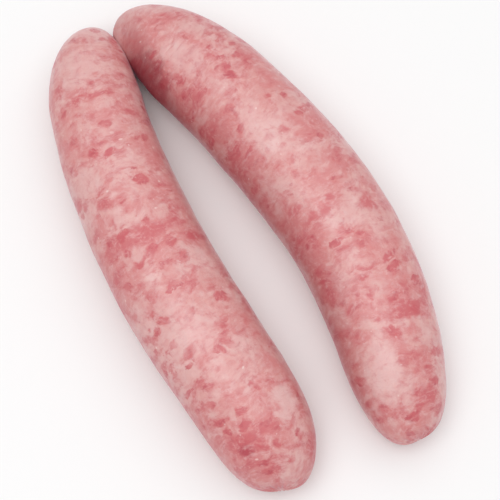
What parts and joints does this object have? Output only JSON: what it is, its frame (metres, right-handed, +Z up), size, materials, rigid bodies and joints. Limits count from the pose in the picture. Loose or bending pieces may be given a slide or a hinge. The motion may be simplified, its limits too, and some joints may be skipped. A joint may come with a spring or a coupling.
{
  "type": "string of sausage links",
  "caption": "String of raw, coarse-ground pork sausage links in natural casing, folded at the twist so that the curved links lie side by side.",
  "frame": {"origin": "on the surface that the string lies on, under the middle of its outline in plan", "axes": "+Z up; +Y from the free ends towards the twisted end, along the length; +X across, from the front link to the back link"},
  "size_m": [0.1148, 0.1464, 0.0299],
  "materials": {
    "front_link_meat": "satin",
    "back_link_meat": "satin",
    "twisted_casing": "satin"
  },
  "bodies": {
    "root": {"link_front": "front_link_meat", "link_back": "back_link_meat", "casing_twist": "twisted_casing"}
  },
  "joints": []
}
